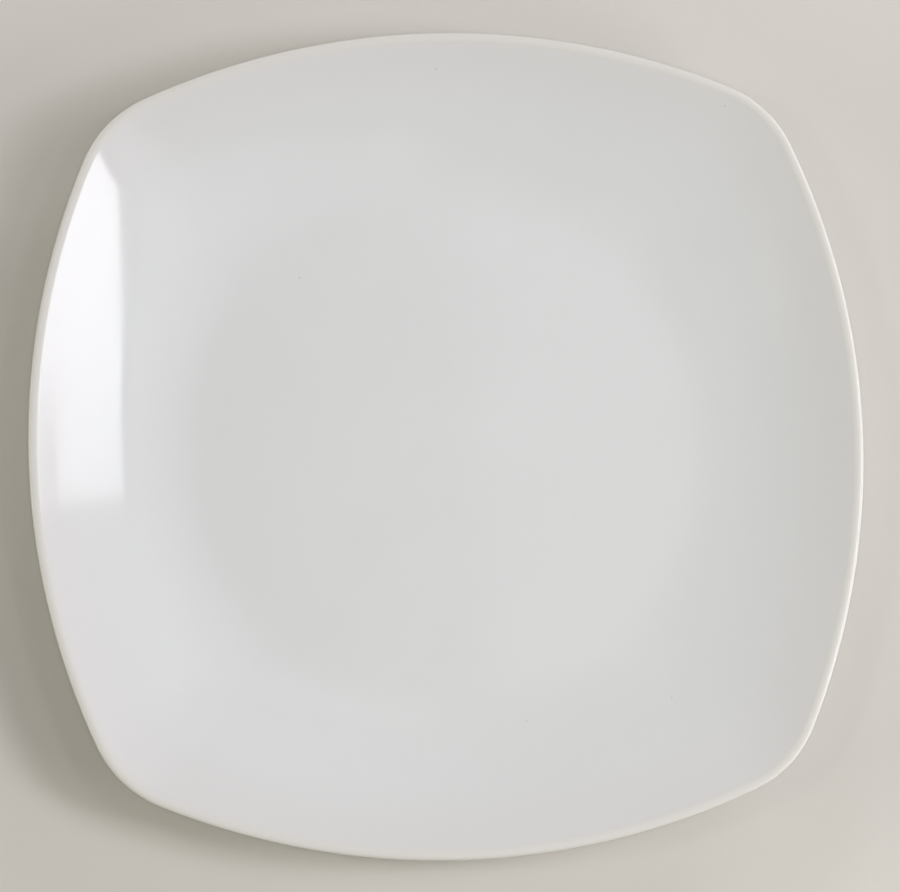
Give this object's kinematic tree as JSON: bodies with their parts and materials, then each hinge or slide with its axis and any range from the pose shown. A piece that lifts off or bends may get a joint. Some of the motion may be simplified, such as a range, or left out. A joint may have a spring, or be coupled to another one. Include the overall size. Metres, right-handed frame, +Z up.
{
  "type": "appetizer plate",
  "caption": "Square white glazed porcelain appetizer plate with bowed sides, rounded corners, a flat round well, a flared wall and a round foot ring.",
  "frame": {"origin": "centre of the foot ring, on the plane that the plate stands on", "axes": "+Z up through the middle of the well; +X and +Y through the middles of two neighbouring sides"},
  "size_m": [0.165, 0.165, 0.017],
  "materials": {
    "bare_clay": "fired and unglazed, finely grainy, on the foot's standing edge",
    "white_glaze": "clear glossy glaze over white clay, warmer where it thins on the lip",
    "underside_glaze": "glossy glaze inside the foot ring"
  },
  "bodies": {
    "root": {"clay_body": "bare_clay", "outer_glaze": "white_glaze", "recess_glaze": "underside_glaze"}
  },
  "joints": []
}
